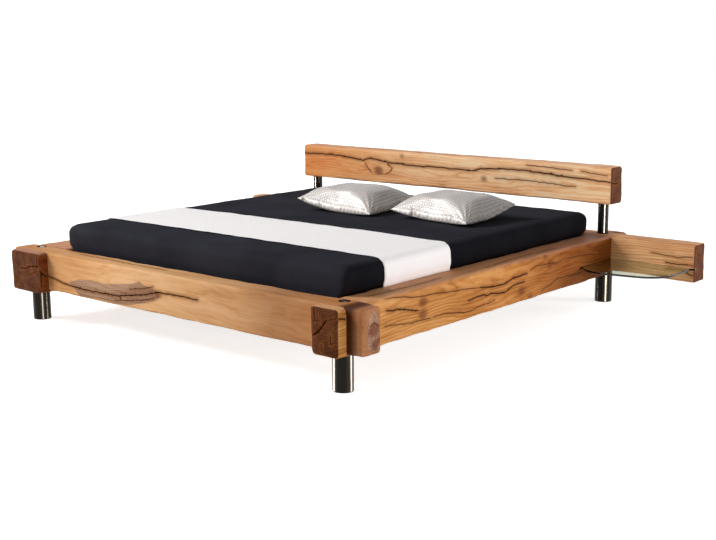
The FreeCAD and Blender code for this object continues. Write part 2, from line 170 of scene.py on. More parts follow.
def wild_oak(name, along_y, colours, pith, tilt, seed, ring=13.0, figure=0.12, top_brown=0.0, top_at=0.351,
             tone_and_shade_span=None):
    """Wild oak, sawn, brushed and oiled: long fibres, arched rings, brown round knots and cracks."""
    material, add, shader = new_material(name)

    def carried(kind, sign):
        """A distance in mm that the mesh carries, which it stores as FAR more or FAR less."""
        value = add("Attribute", attribute_name=kind).outputs["Fac"]
        return add("Math", [value, sign, -FAR * sign], operation="MULTIPLY_ADD")

    def layer(under, cover, distance, uneven, wander, edge, strength):
        """Covers a colour by a carried distance from low to high of edge, which an uneven pattern moves."""
        at = add("Math", [uneven, wander, distance], operation="MULTIPLY_ADD")
        spans = {"From Min": edge[0], "From Max": edge[1], "To Min": strength[0], "To Max": strength[1]}
        share = add("MapRange", {"Value": at, **spans}, interpolation_type="SMOOTHSTEP")
        return add("Mix", {"Factor": share, "A": under, "B": cover}, data_type="RGBA").outputs["Result"]

    where = add("TexCoord").outputs["Object"]
    turn = (-math.pi / 2 if along_y else 0.0) + tilt
    laid = add("Mapping", {"Vector": where, "Rotation": (0, 0, turn)})
    # the tree's heart runs beside the beam and not quite in line with it, which gives nested arches on a face
    heart = (seed * 3.7, -pith[0] * MM, -pith[1] * MM)
    shift = add("VectorMath", [laid, heart], operation="ADD")
    slow = add("VectorMath", [shift, (1.6, 5.0, 5.0)], operation="MULTIPLY")
    bend = add("TexNoise", {"Vector": slow, "Scale": 1.0, "Detail": 2.0, "Roughness": 0.5}).outputs["Color"]
    centred = add("VectorMath", [bend, (0.5, 0.5, 0.5)], operation="SUBTRACT")
    push = add("VectorMath", {0: centred, "Scale": 0.10}, operation="SCALE")
    grain = add("VectorMath", [shift, push], operation="ADD")
    # yearly rings are 3 to 5 mm wide on wild oak, and drawn three times as wide so that they show
    waves = {"Vector": grain, "Scale": 0.314 / (ring * MM), "Distortion": 1.5, "Detail": 2.0,
             "Detail Scale": 1.2}
    rings = add("TexWave", waves, wave_type="RINGS", rings_direction="X").outputs["Fac"]
    late = add("MapRange", {"Value": rings, "From Min": 0.35, "From Max": 1.0},
               interpolation_type="SMOOTHSTEP")
    # fibres are under 2 mm wide, and drawn about four times as coarse
    fibre_at = add("VectorMath", [grain, (5.0, 110.0, 110.0)], operation="MULTIPLY")
    fibre = add("TexNoise", {"Vector": fibre_at, "Scale": 1.0, "Detail": 3.0, "Roughness": 0.65})
    broad_at = add("VectorMath", [grain, (2.2, 17.0, 17.0)], operation="MULTIPLY")
    broad = add("TexNoise", {"Vector": broad_at, "Scale": 1.0, "Detail": 4.0, "Roughness": 0.55})
    tone = add("Math", [late, figure, 0.0], operation="MULTIPLY_ADD")
    tone = add("Math", [fibre, 0.36, tone], operation="MULTIPLY_ADD")
    tone = add("Math", [broad, 0.62, tone], operation="MULTIPLY_ADD")
    pale, body, dark = colours
    colour = add("ValToRGB", {"Fac": tone}, stops=[(0.40, pale), (0.56, body), (0.84, dark)])
    apart = add("SeparateXYZ", [laid])
    if tone_and_shade_span:
        # a drift of colour along the beam, multiplied in; the foot and right side beams also use it for
        # painted shade
        start, end, stops = tone_and_shade_span
        part = add("MapRange", {"Value": apart.outputs["X"], "From Min": start * MM, "From Max": end * MM})
        tone_and_shade_colour = add("ValToRGB", {"Fac": part}, stops=stops)
        blend = {"Factor": 1.0, "A": colour, "B": tone_and_shade_colour}
        colour = add("Mix", blend, data_type="RGBA", blend_type="MULTIPLY").outputs["Result"]
    if top_brown:
        # the upper face is browner than the sides
        rise = {"From Min": top_at, "From Max": top_at + 0.011, "To Max": top_brown}
        upper = add("MapRange", {"Value": apart.outputs["Z"], **rise})
        blend = {"Factor": upper, "A": colour, "B": linear("#CA987C")}
        colour = add("Mix", blend, data_type="RGBA").outputs["Result"]
    wobble = add("Math", [broad, 40.0, -20.0], operation="MULTIPLY_ADD")
    # grey weathered patches left from the old log face, with close lines that follow their edge
    weather = carried("weathered", 1.0)
    close = add("Math", [wobble, 0.05, weather], operation="MULTIPLY_ADD")
    lines = add("Math", [close, 0.75, 1.2], operation="MULTIPLY_ADD")
    lines = add("Math", [lines], operation="SINE")
    mixed = add("Math", [lines, 0.10, tone], operation="MULTIPLY_ADD")
    silver = add("ValToRGB", {"Fac": mixed}, stops=[(0.38, "#B08E74"), (0.58, "#8C6A55"), (0.80, "#4A3028")])
    colour = layer(colour, silver, weather, wobble, 0.3, (-2.0, 2.5), (0.0, 0.88))
    # knots, from the mesh: brown eyes with soft edges
    colour = layer(colour, linear("#6E3A22"), carried("knot", 1.0), wobble, 1.0, (-18.0, 9.0), (0.0, 0.75))
    # end grain soaks up the oil and turns dark brown
    across = add("ValToRGB", {"Fac": tone}, stops=[(0.38, "#6C3E1E"), (0.56, "#522810"), (0.80, "#290F03")])
    colour = layer(colour, across, carried("ends", -1.0), fibre, 5.0, (3.5, 8.5), (1.0, 0.0))
    # a crack has a brown stain beside it; its darker rim and its black inside are painted shade on the
    # crack's walls and floor, brown in a shallow one
    crack = carried("crack", -1.0)
    shallow = add("Attribute", attribute_name="shallow").outputs["Fac"]
    crack_shade_by_depth = {"Factor": shallow, "A": linear("#1E0F08"), "B": linear("#643818")}
    inside = add("Mix", crack_shade_by_depth, data_type="RGBA").outputs["Result"]
    for cover, wander, edge, less, most in (
        (linear("#80491F"), 0.5, (0.0, 22.0), -0.3, 0.6),
        (linear("#6A3B1C"), 0.15, (1.0, 5.5), -0.4, 0.75),
        (inside, 0.0, (0.8, 3.4), -0.18, 0.93),
    ):
        strength = add("Math", [shallow, less, most], operation="MULTIPLY_ADD")
        colour = layer(colour, cover, crack, wobble, wander, edge, (strength, 0.0))
    rough = add("MapRange", {"Value": tone, "From Min": 0.3, "From Max": 0.8, "To Min": 0.45,
                             "To Max": 0.66})
    relief = add("Math", [fibre, 0.8, late], operation="MULTIPLY_ADD")
    bump = add("Bump", {"Strength": 0.3, "Distance": 0.0008, "Height": relief}, invert=True)
    put(shader, Base_Color=colour, Roughness=rough, Normal=bump, IOR=1.45, Specular_IOR_Level=0.08)
    return material


def grid_lines(low, high, step, edge, notches=()):
    """Places of a beam's grid lines: close at the rounded edges, doubled where a lap starts or ends."""
    rim = edge * (1 - np.tan(np.radians([45, 33, 22, 11])))
    inner = [low + edge, *sorted(notches), high - edge]
    lines = [low + rim]
    for a, b in zip(inner[:-1], inner[1:]):
        lines.append(np.linspace(a, b, max(2, round((b - a) / step) + 1)))
    lines.append((high - rim)[::-1])
    return np.concatenate(lines)


def box_grid(lines):
    """The skin of a box as quads over its grid lines: points, their line numbers, and faces."""
    counts = [len(q) for q in lines]
    keys, faces = [], []
    for axis in range(3):
        u, v = (axis + 1) % 3, (axis + 2) % 3
        nu, nv = counts[u], counts[v]
        for side in (0, 1):
            at = np.zeros((nu, nv, 3), int)
            at[..., axis] = side * (counts[axis] - 1)
            at[..., u], at[..., v] = np.meshgrid(np.arange(nu), np.arange(nv), indexing="ij")
            key = (at[..., 0] * counts[1] + at[..., 1]) * counts[2] + at[..., 2]
            quad = np.stack([key[:-1, :-1], key[1:, :-1], key[1:, 1:], key[:-1, 1:]], -1).reshape(-1, 4)
            faces.append(quad if side else quad[:, ::-1])
            keys.append(key.ravel())
    kept, faces = np.unique(np.concatenate(keys)), np.concatenate(faces)
    faces = np.searchsorted(kept, faces)
    index = np.stack([kept // (counts[1] * counts[2]), kept // counts[2] % counts[1], kept % counts[2]], 1)
    points = np.stack([lines[k][index[:, k]] for k in range(3)], 1)
    return points, index, faces


def nearest_on(line, at):
    """For each point, the nearest place on a polyline, its distance and its share of the way along."""
    line = np.asarray(line, float)
    lengths = np.linalg.norm(np.diff(line, axis=0), axis=1)
    done = np.concatenate([[0], np.cumsum(lengths)])
    best = np.full(len(at), 1e9)
    spot, share = np.zeros_like(at), np.zeros(len(at))
    for a, b, start, length in zip(line[:-1], line[1:], done, lengths):
        t = np.clip((at - a) @ (b - a) / length**2, 0, 1)
        here = a + t[:, None] * (b - a)
        far = np.linalg.norm(at - here, axis=1)
        closer = far < best
        best[closer], spot[closer] = far[closer], here[closer]
        share[closer] = ((start + t * length) / done[-1])[closer]
    return spot, best, share


def inside_outline(outline, at):
    """Distance in from a closed outline, below zero outside it."""
    closed = np.asarray([*outline, outline[0]], float)
    _, far, _ = nearest_on(closed, at)
    within = np.zeros(len(at), bool)
    for (x0, y0), (x1, y1) in zip(closed[:-1], closed[1:]):
        if y0 != y1:
            crosses = (y0 > at[:, 1]) != (y1 > at[:, 1])
            within ^= crosses & (at[:, 0] < (x1 - x0) * (at[:, 1] - y0) / (y1 - y0) + x0)
    return np.where(within, far, -far)


def rugged(line, draw, amount):
    """A hand-drawn line with small uneven steps put in between its corners."""
    line = np.asarray(line, float)
    made = [line[0]]
    for a, b in zip(line[:-1], line[1:]):
        length = np.linalg.norm(b - a)
        count = max(1, int(length / 24))
        side = np.array([-(b - a)[1], (b - a)[0]]) / max(length, 1e-9)
        for k in range(1, count + 1):
            off = draw.normal() * amount if k < count else 0.0
            made.append(a + (b - a) * k / count + side * off)
    return np.array(made)


def prism(outline, low_z, high_z):
    """A closed upright block over an outline: points and faces."""
    n = len(outline)
    points = [(x, y, z) for z in (low_z, high_z) for x, y in outline]
    faces = [tuple(reversed(range(n))), tuple(range(n, 2 * n))]
    faces += [(k, (k + 1) % n, n + (k + 1) % n, n + k) for k in range(n)]
    return points, faces


def carve(piece, cuts, inside):
    """Cuts blocks out of a beam, such as a kerf or a bolt's seat, whose walls get the inside material, which
    paints their shade.
    """
    points, faces = [], []
    for block_points, block_faces in cuts:
        faces += [tuple(k + len(points) for k in face) for face in block_faces]
        points += block_points
    cutter = make_object("cutter", points, faces, inside, smooth=False)
    modifier = piece.modifiers.new("cut", "BOOLEAN")
    modifier.operation, modifier.solver, modifier.object = "DIFFERENCE", "EXACT", cutter
    modifier.material_mode = "TRANSFER"
    carved = bpy.data.meshes.new_from_object(piece.evaluated_get(bpy.context.evaluated_depsgraph_get()))
    piece.modifiers.clear()
    piece.data = carved
    bpy.data.objects.remove(cutter)


def oak_beam(node, material, laps=(), lap_over=True, edge=14.0, cracks=(), knots=(), patches=(), seed=1,
             calm=(), bright_end=False, cuts=(), end_edge=6.0):
    """A rustic beam over its CAD node: uneven rounded edges, laps, and cracks and knots cut into its faces.

    A crack is (face, points, width, depth) with points in millimetres in the face's own plane.
    """
    low, high = (np.array(v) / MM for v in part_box(node))
    along = int((high - low).argmax())
    draw = np.random.default_rng(seed)
    lines = [grid_lines(low[axis], high[axis], STEP, edge) for axis in range(3)]
    lines[along] = grid_lines(low[along], high[along], STEP, end_edge,
                              [place for lap in laps for place in lap])
    p, index, faces = box_grid(lines)
    counts = [len(q) for q in lines]
    depth = np.zeros(len(p))
    crack = np.full(len(p), FAR)
    shallow = np.zeros(len(p))
    knot = np.full(len(p), -FAR)
    weathered = np.full(len(p), -FAR)
    sides = {"front": (1, 0), "back": (1, 1), "left": (0, 0), "right": (0, 1), "top": (2, 1)}

    def on_face(face):
        """The two axes of a face's plane, and the numbers of the points that lie on it."""
        axis, side = sides[face]
        return [k for k in range(3) if k != axis], np.flatnonzero(index[:, axis] == side * (counts[axis] - 1))

    for face, points, width, deep in cracks:
        plane, rows = on_face(face)
        line = rugged(points, draw, amount=1.6)
        at = p[rows][:, plane]
        box = (line.min(0) - CRACK_REACH, line.max(0) + CRACK_REACH)
        rows = rows[((at > box[0]) & (at < box[1])).all(1)]
        at = p[rows][:, plane]
        spot, far, share = nearest_on(line, at)
        taper = np.clip(np.minimum(share, 1 - share) * 7, 0.25, 1) * (0.85 + 0.3 * np.sin(share * 37 + seed))
        within = (share > 0.001) & (share < 0.999)
        half = width / 2 * taper
        # the nearest points go onto the crack's line, which is its floor, and the next ones to its shoulders
        near = within & (far < 0.58 * STEP)
        shoulder = within & ~near & (far < 1.5 * STEP) & (far > half)
        goal = at.copy()
        goal[near] = spot[near]
        way = (at - spot) / np.maximum(far, 1e-6)[:, None]
        goal[shoulder] = (spot + way * half[:, None])[shoulder]
        for k, plane_axis in enumerate(plane):
            free = (index[rows, plane_axis] > 0) & (index[rows, plane_axis] < counts[plane_axis] - 1)
            moved = p[rows, plane_axis].copy()
            moved[free] = goal[free, k]
            p[rows, plane_axis] = moved
        depth[rows[near]] = np.maximum(depth[rows[near]], (deep * taper)[near])
        _, far, _ = nearest_on(line, p[rows][:, plane])
        far = np.where(within, far, far + 2)
        # a shallow crack's inside is painted as brown shade, a deep one's as black shade
        shallow[rows] = np.where(far < crack[rows], np.clip((7 - deep) / 3, 0, 1), shallow[rows])
        crack[rows] = np.minimum(crack[rows], far)
    for face, centre, radius in knots:
        plane, rows = on_face(face)
        off = p[rows][:, plane] - np.asarray(centre, float)
        off[:, 0] /= 1.35 if plane[0] == along else 1.0
        far = np.linalg.norm(off, axis=1)
        knot[rows] = np.maximum(knot[rows], radius - far)
        depth[rows] += 1.2 * np.exp(-(far / radius) ** 2) * np.cos(far / radius * 7)
    for face, outline in patches:
        plane, rows = on_face(face)
        weathered[rows] = np.maximum(weathered[rows], inside_outline(outline, p[rows][:, plane]))
    # rounded edges whose radius wanders along the beam
    radius = edge * (1 + 0.30 * wave_field(p, 230, seed + 5) + 0.12 * wave_field(p, 45, seed + 6))
    to_end = np.minimum(p[:, along] - low[along], high[along] - p[:, along])
    radius *= 1 + 0.25 * (1 - ease(to_end, 10, 110))
    # the sawn ends have crisper edges than the long sides
    reach = np.repeat(radius[:, None], 3, 1)
    reach[:, along] *= end_edge / edge
    core = np.clip(p, low + reach, high - reach)
    way = (p - core) / reach
    way /= np.maximum(np.linalg.norm(way, axis=1), 1e-9)[:, None]
    surface = core + way * reach
    out = way / reach
    out /= np.maximum(np.linalg.norm(out, axis=1), 1e-9)[:, None]
    # the brushed faces are a little uneven, but true where something is joined to them
    wander = 0.9 + 0.9 * wave_field(p, 190, seed + 7) + 0.25 * wave_field(p, 48, seed + 8)
    hold = np.ones(len(p))
    for a, b in [*laps, *calm]:
        hold *= ease(np.maximum(a - p[:, along], p[:, along] - b), 5, 60)
    inward = np.clip(wander, 0, None) * hold + depth
    made = surface - out * inward[:, None]
    # laps: the wood is sawn away to where the two beams meet
    for a, b in laps:
        first = np.searchsorted(lines[along], a, side="right")
        last = np.searchsorted(lines[along], b, side="left")
        inside = (index[:, along] >= first) & (index[:, along] < last)
        meet = np.minimum if lap_over else np.maximum
        made[inside, 2] = meet(made[inside, 2], LAP_LEVEL)
    # a crack's floor stays one line where it runs across the quads
    d = depth[faces]
    split = (d > 1.6).any(1)
    cut = faces[split]
    turn = d[split][:, 0] + d[split][:, 2] >= d[split][:, 1] + d[split][:, 3]
    first = np.where(turn[:, None], cut[:, [0, 1, 2]], cut[:, [1, 2, 3]])
    second = np.where(turn[:, None], cut[:, [0, 2, 3]], cut[:, [1, 3, 0]])
    all_faces = faces[~split].tolist() + first.tolist() + second.tolist()
    beam = make_object(node + "_oak", made, all_faces, material)
    from_high = FAR if bright_end else high[along] - p[:, along]
    ends = np.clip(np.minimum(p[:, along] - low[along], from_high), 0, FAR)
    # each is stored so that 0 means far from it, which is what a cut's new points get
    carried = {"crack": FAR - crack, "knot": knot + FAR, "weathered": weathered + FAR, "ends": FAR - ends,
               "shallow": shallow}
    for name, values in carried.items():
        stored = np.clip(values, 0, None).astype(np.float32)
        beam.data.attributes.new(name, "FLOAT", "POINT").data.foreach_set("value", stored)
    melt = bmesh.new()
    melt.from_mesh(beam.data)
    bmesh.ops.remove_doubles(melt, verts=melt.verts, dist=0.00002)
    bmesh.ops.dissolve_degenerate(melt, edges=melt.edges, dist=0.00001)
    melt.to_mesh(beam.data)
    melt.free()
    if cuts:
        carve(beam, cuts, painted_shade_cut_oak)
    beam.data.set_sharp_from_angle(angle=math.radians(55))
    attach(beam, "frame")
    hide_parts(node)


# The five beams

# Oak inside a drilled or sawn cut, painted near black and dull: painted shade for the inside of the kerfs and
# the bolts' seats
painted_shade_cut_oak = patterned("drilled_oak_cut_painted_shade", "TexNoise", {"Scale": 60.0, "Detail": 3.0},
                      [(0.35, "#1E0F08"), (0.65, "#3A2012")], Roughness=0.8, Specular_IOR_Level=0.1)

# Where the foot and cross beams lie over the side beams, in x, and where the side beams lie under them, in y
CROSS_LAPS = ((-1092.5, -856.5), (943.5, 1092.5))
SIDE_LAPS = ((-1122, -1000), (1000, 1122))

SIDE_COLOURS = ("#DCA467", "#C88A4A", "#7C4822")
foot_oak = wild_oak(
    "wild_oak_foot_beam", False, ("#EABE92", "#DEAC7A", "#A66E42"), (-1040, 296), 0.02, 1, ring=15,
    figure=0.06,
    # darker towards both ends: partly the plank's own tone, partly painted shade; the near-black stops from
    # 0.966 to 0.985 are a painted shadow of the right side beam's stub on the front face beside it
    tone_and_shade_span=(-1130, 1172, [
        (0.0, "#C6A084"), (0.06, "#D2BFA4"), (0.15, "#E2D2BE"), (0.28, "#F8EEE2"), (0.5, "#F8F4EE"),
        (0.7, "#E8DDD2"), (0.8, "#C6B6AA"), (0.95, "#CDB198"), (0.966, "#523A2A"), (0.985, "#523A2A"),
        (1.0, "#B89E92"),
    ]),
)
side_oak = wild_oak(
    "wild_oak_right_side_beam", True, SIDE_COLOURS, (-1000, 330), -0.03, 2, top_brown=0.45,
    # darker from 0.72 towards the head end: painted shadow that the head cross beam's arm casts along the
    # side face
    tone_and_shade_span=(-1172, 1172, [
        (0.0, "#FFFFFF"), (0.5, "#EEDFCC"), (0.72, "#B49270"), (0.88, "#84643E"), (1.0, "#80603E"),
    ]),
)
left_oak = wild_oak(
    "wild_oak_left_side_beam", True, SIDE_COLOURS, (1000, 330), -0.03, 5, top_brown=0.5,
    tone_and_shade_span=(-1172, 1172, [
        (0.0, "#8E6854"), (0.03, "#8E6854"), (0.1, "#E6CDB8"), (1.0, "#E6CDB8"),
    ]),
)
cross_oak = wild_oak(
    "wild_oak_head_cross_beam", False, ("#E2AC7C", "#CC9162", "#8E5638"), (1030, 250), 0.02, 3,
)
rest_oak = wild_oak(
    "wild_oak_head_rest_beam", False, ("#FFDCB0", "#FAC08C", "#B87A4C"), (1030, 610), -0.03, 4, figure=0.1,
    top_brown=0.45, top_at=0.71,
    tone_and_shade_span=(-1080, 1080, [
        (0.0, "#D4A880"), (0.22, "#E8CFB6"), (0.5, "#FFFFFF"), (1.0, "#FFFFFF"),
    ]),
)

# The round seats drilled round the foot crossings' bolts: middles, radius, floor and top, in millimetres
SEATS = ((1006.5, -1032), (-1023.5, -1032))
SEAT_RADIUS = 27
SEAT_LOW, SEAT_HIGH = 350, 380
ROUND = [(math.cos(math.radians(7.5 * k)), math.sin(math.radians(7.5 * k))) for k in range(48)]
bolt_seats = []
for x, y in SEATS:
    rim = [(x + SEAT_RADIUS * c, y + SEAT_RADIUS * s) for c, s in ROUND]
    bolt_seats.append(prism(rim, SEAT_LOW, SEAT_HIGH))

# The right shelf's saw kerfs in the side beam and the cross beam: ends in x and in y, and their heights
KERF_IN_SIDE = (1072.5, 1120, 680, 1020)
KERF_IN_CROSS = (1060, 1560.5, 980, 1020)
KERF_LOW, KERF_HIGH = 235.0, 245.4


def shelf_kerfs(side):
    """The saw kerfs in a side beam and in the head cross beam that a glass shelf slides into."""
    blocks = []
    for x0, x1, y0, y1 in (KERF_IN_SIDE, KERF_IN_CROSS):
        left, right = (x0, x1) if side > 0 else (-x1, -x0)
        blocks.append(prism([(left, y0), (right, y0), (right, y1), (left, y1)], KERF_LOW, KERF_HIGH))
    return blocks


side_kerf_right, cross_kerf_right = shelf_kerfs(1)
side_kerf_left, cross_kerf_left = shelf_kerfs(-1)

oak_beam(
    "foot_beam", foot_oak, laps=CROSS_LAPS, lap_over=False, seed=11, bright_end=True, cuts=bolt_seats,
    cracks=(
        ("front", [(-862, 247), (-724, 223), (-645, 218), (-567, 214), (-453, 215), (-318, 218), (-158, 245),
            (-31, 274), (16, 273), (50, 278), (150, 278), (234, 276)], 6.5, 11),
        ("front", [(-345, 194), (-250, 205), (-180, 216), (-110, 229), (-48, 246)], 3.0, 4),
        ("front", [(-232, 262), (-170, 272), (-120, 281), (-60, 296)], 3.0, 4),
        ("right", [(-1070, 286), (-1043, 300), (-1014, 280)], 3.0, 4),
        ("left", [(-1100, 300), (-1060, 320), (-1030, 345)], 4.0, 8),
        ("back", [(-300, 320), (-40, 300), (260, 306), (420, 296)], 4.0, 7),
        ("top", [(-700, -1040), (-350, -1052), (-60, -1046)], 3.0, 5),
    ),
    knots=(
        ("right", (-1044, 268), 24), ("right", (-1040, 214), 15), ("right", (-1012, 226), 10),
        ("front", (-28, 262), 8), ("back", (560, 285), 20),
    ),
    patches=(
        ("front", [(-691, 237), (-610, 260), (-509, 268), (-426, 265), (-212, 292), (-161, 310), (-131, 295),
            (-65, 285), (-28, 277), (-26, 244), (-71, 226), (-154, 206), (-234, 187), (-343, 179),
            (-470, 183), (-609, 178)]),
        ("right", [(-1051, 354), (-1026, 334), (-1009, 304), (-1002, 259), (-1002, 184), (-1052, 179),
            (-1083, 200), (-1088, 271), (-1075, 317)]),
    ),
)

oak_beam(
    "side_beam_right", side_oak, laps=SIDE_LAPS, seed=12, edge=17.0, cuts=[side_kerf_right],
    cracks=(
        ("right", [(-880, 360), (-726, 338), (-669, 329), (-575, 323), (-431, 311), (-292, 300),
            (-190, 288)], 3.5, 3.5),
        ("right", [(-200, 290), (-108, 278), (1, 275), (71, 290), (190, 294)], 7.0, 10),
        ("right", [(-292, 246), (-240, 250), (-168, 252), (-145, 244), (-108, 248), (2, 234), (30, 240),
            (74, 254), (114, 258), (170, 258)], 5.0, 7),
        ("right", [(216, 304), (280, 318), (363, 312), (456, 304), (518, 314), (631, 309), (747, 305),
            (1000, 262)], 3.5, 3.5),
        ("right", [(-551, 218), (-442, 216), (-291, 196), (-173, 205), (-80, 214)], 3.0, 3),
        ("right", [(-872, 306), (-826, 298), (-804, 301), (-748, 289), (-657, 267)], 4.0, 7),
        ("right", [(-881, 241), (-726, 226), (-563, 217)], 2.5, 3),
        ("right", [(323, 187), (475, 224), (702, 217)], 2.5, 3),
        ("right", [(-1166, 327), (-1124, 319)], 5.0, 10),
        ("front", [(951, 239), (983, 258), (1002, 277), (1034, 314)], 9.0, 16),
        ("front", [(964, 361), (967, 315)], 7.0, 12),
        ("front", [(1050, 255), (1050, 231), (1057, 215)], 4.0, 8),
        ("front", [(1000, 212), (1007, 180)], 3.0, 6),
        ("front", [(952, 299), (999, 309)], 3.0, 5),
        ("front", [(1041, 315), (1086, 328)], 3.0, 5),
        ("back", [(960, 300), (1010, 285), (1060, 250)], 5.0, 9),
        ("top", [(1020, -900), (1040, -640), (1034, -420)], 3.0, 5),
        ("top", [(1055, -100), (1030, 200), (1042, 520)], 3.0, 5),
    ),
    knots=(
        ("right", (-622, 300), 13), ("right", (-622, 242), 16), ("right", (394, 307), 12),
        ("right", (219, 174), 13), ("right", (145, 215), 12), ("right", (354, 350), 8),
        ("front", (1036, 174), 5), ("top", (1010, -760), 11),
    ),
)
oak_beam(
    "side_beam_left", left_oak, laps=SIDE_LAPS, seed=13, edge=17.0, cuts=[side_kerf_left],
    cracks=(
        ("front", [(-1022, 270), (-951, 288), (-870, 301)], 6.0, 12),
        ("front", [(-1075, 242), (-1041, 222), (-1057, 184)], 3.0, 5),
        ("front", [(-871, 362), (-875, 330), (-879, 291)], 6.0, 14),
        ("front", [(-968, 239), (-871, 275)], 3.0, 5),
        ("right", [(-1170, 277), (-1151, 259), (-1127, 243)], 5.0, 10),
        ("right", [(-1166, 265), (-1166, 196)], 5.0, 8),
        ("left", [(-800, 250), (-420, 282), (-60, 268), (240, 290), (600, 262)], 4.5, 8),
        ("left", [(300, 220), (620, 232), (900, 214)], 3.5, 6),
        ("top", [(-960, -700), (-985, -300), (-960, 120)], 3.0, 6),
        ("back", [(-1060, 320), (-990, 280), (-930, 262)], 6.0, 11),
    ),
    knots=(
        ("left", (-520, 300), 20), ("left", (420, 235), 24), ("top", (-1000, 430), 16),
    ),
)
oak_beam(
    "head_cross_beam", cross_oak, laps=CROSS_LAPS, lap_over=False, seed=14,
    calm=((-1120, -900), (920, 1120)), cuts=[cross_kerf_right, cross_kerf_left],
    cracks=(
        ("front", [(1320, 303), (1437, 297), (1552, 301)], 3.0, 3),
        ("front", [(1400, 262), (1470, 258), (1552, 262)], 4.0, 6),
        ("front", [(1505, 226), (1552, 208)], 4.0, 6),
        ("back", [(-900, 270), (-300, 292), (350, 262), (900, 286)], 5.0, 9),
        ("left", [(1030, 300), (1070, 270), (1096, 240)], 5.0, 9),
        ("right", [(1020, 330), (1060, 300)], 4.0, 7),
    ),
    knots=(
        ("back", (-420, 250), 20), ("back", (620, 310), 17), ("front", (-1300, 285), 16),
    ),
)
oak_beam(
    "head_rest_beam", rest_oak, seed=15, edge=15.0, calm=((-1060, -985), (970, 1045)),
    cracks=(
        ("front", [(-1076, 672), (-873, 674), (-707, 666), (-599, 653), (-545, 669), (-422, 656),
            (-251, 647), (-85, 649), (77, 647), (202, 645), (264, 662), (385, 668), (533, 672), (677, 663),
            (818, 655), (954, 650), (1079, 642)], 6.0, 12),
        ("front", [(900, 691), (980, 684), (1060, 677)], 3.0, 4),
        ("front", [(560, 703), (700, 698), (850, 692)], 2.5, 3),
        ("front", [(-584, 640), (-560, 610), (-528, 582)], 3.0, 4),
        ("front", [(-422, 582), (-385, 600), (-372, 622), (-410, 640)], 3.0, 4),
        ("front", [(356, 615), (534, 616), (700, 611), (873, 606)], 2.5, 3),
        ("right", [(1008, 640), (1050, 632), (1092, 640)], 5.0, 10),
        ("left", [(1010, 668), (1060, 650)], 5.0, 9),
        ("back", [(-700, 640), (-120, 612), (420, 634), (900, 600)], 5.0, 9),
        ("top", [(-640, 1060), (-100, 1048), (330, 1064)], 3.5, 6),
    ),
    knots=(
        ("front", (-478, 600), 17), ("front", (285, 606), 10), ("front", (-300, 700), 7),
        ("back", (150, 570), 22),
    ),
)


# Metals, glass and small parts


def plain_metal(name, colour, roughness, spread, scale, round_tube=False):
    """A metal whose polish wanders a little, and on a round tube is smeared along it by grinding."""
    material, add, shader = new_material(name)
    smear = add("TexNoise", {"Vector": add("TexCoord").outputs["Object"], "Scale": scale, "Detail": 3.0})
    if round_tube:
        tangent = add("Tangent", direction_type="RADIAL", axis="Z")
        put(shader, Tangent=tangent, Anisotropic=0.85, Anisotropic_Rotation=0.25)
    rough = add("MapRange", {"Value": smear, "To Min": roughness - spread, "To Max": roughness + spread})
    put(shader, Base_Color=linear(colour), Metallic=1.0, Roughness=rough)
    return material


# Polished steel tube and its plates, their base colour painted near black as a painted reflection of a dark
# surround; the tube's hard bright lines down its sides come from the strip lamps
tube_with_painted_dark_reflection = plain_metal("polished_steel_tube_painted_dark_reflection", "#221F1B", 0.34, 0.05, 14.0, round_tube=True)
plate_with_painted_dark_reflection = plain_metal("steel_plate_painted_dark_reflection", "#221F1B", 0.3, 0.06, 14.0)
# Zinc-plated steel: pale grey, slightly blotched
zinc = plain_metal("zinc_plated_steel", "#B9BABB", 0.32, 0.1, 60.0)
galvanised = plain_metal("galvanised_sheet_steel", "#8F9496", 0.45, 0.12, 90.0)


def sawn_softwood(name, pale, dark, stretch):
    """Planed boards: straight even grain in two close tones."""
    grain = {"Scale": 1.0, "Detail": 4.0, "Distortion": 0.4}
    stops = [(0.35, dark), (0.62, pale)]
    return patterned(name, "TexNoise", grain, stops, (0.2, 0.0005), stretch=stretch, Roughness=0.6)


spruce = sawn_softwood("planed_spruce", "#E0C08E", "#C79A62", (60.0, 4.0, 60.0))
beech = sawn_softwood("laminated_beech", "#DDB487", "#C08F62", (5.0, 45.0, 160.0))
beech_rails = sawn_softwood("laminated_beech_rail", "#D9AE80", "#B98859", (45.0, 5.0, 160.0))


def dull_plastic(name, colour, roughness):
    """Moulded plastic or rubber with a fine eroded skin."""
    grit = {"Scale": 900.0, "Detail": 2.0}
    values = {"Base_Color": linear(colour), "Roughness": roughness}
    return patterned(name, "TexNoise", grit, relief=(0.25, 0.0003), **values)


glide_plastic = dull_plastic("moulded_black_polyethylene", "#161616", 0.5)
cap_rubber = dull_plastic("moulded_black_rubber", "#1B1B1C", 0.75)

# Float glass, ground and polished edges: clear through the face, green down the edge
glass, add, shader = new_material("clear_float_glass")
put(shader, Base_Color=linear("#EAF5F0"), Roughness=0.0, IOR=1.5, Transmission_Weight=1.0)
body = add("VolumeAbsorption", {"Color": linear("#4FDB78"), "Density": 8.0})
feed(shader.outputs[0].links[0].to_node, {"Volume": body})

